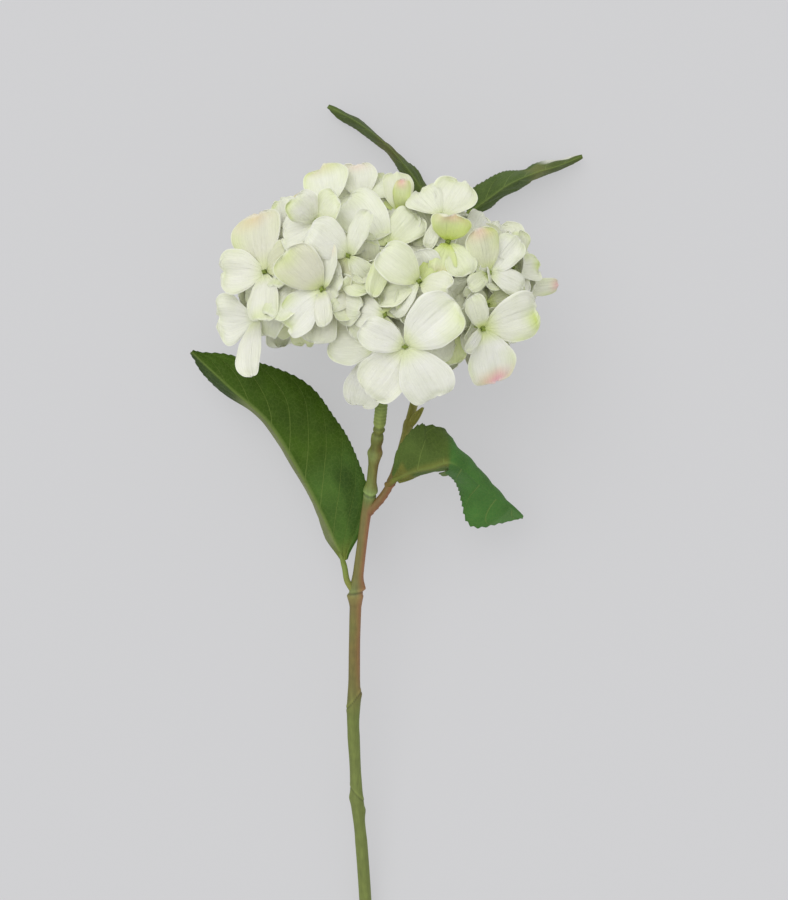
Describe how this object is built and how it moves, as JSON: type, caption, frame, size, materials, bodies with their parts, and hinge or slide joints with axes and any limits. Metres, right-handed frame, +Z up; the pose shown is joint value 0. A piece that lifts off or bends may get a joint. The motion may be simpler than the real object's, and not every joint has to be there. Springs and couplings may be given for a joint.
{
  "type": "cut hydrangea",
  "caption": "Cut hydrangea lying on a surface: a round head of white florets with broad petals on a slender green stem with a side shoot and toothed leaves.",
  "frame": {"origin": "middle of the footprint of the whole flower, on the surface that it lies on", "axes": "+Y along the stem from the cut end to the head, +X to the right seen from above, +Z up from the surface"},
  "size_m": [0.1896, 0.4123, 0.1295],
  "materials": {
    "petal": "matt white with green and pink tints",
    "leaf": "matt, veined",
    "stem": "smooth green bark, reddish in parts"
  },
  "bodies": {
    "root": {"stem": "stem", "leaf_left": "leaf", "leaf_right": "leaf", "leaf_back_left": "leaf", "leaf_back_right": "leaf", "flower_head": "petal"}
  },
  "joints": []
}
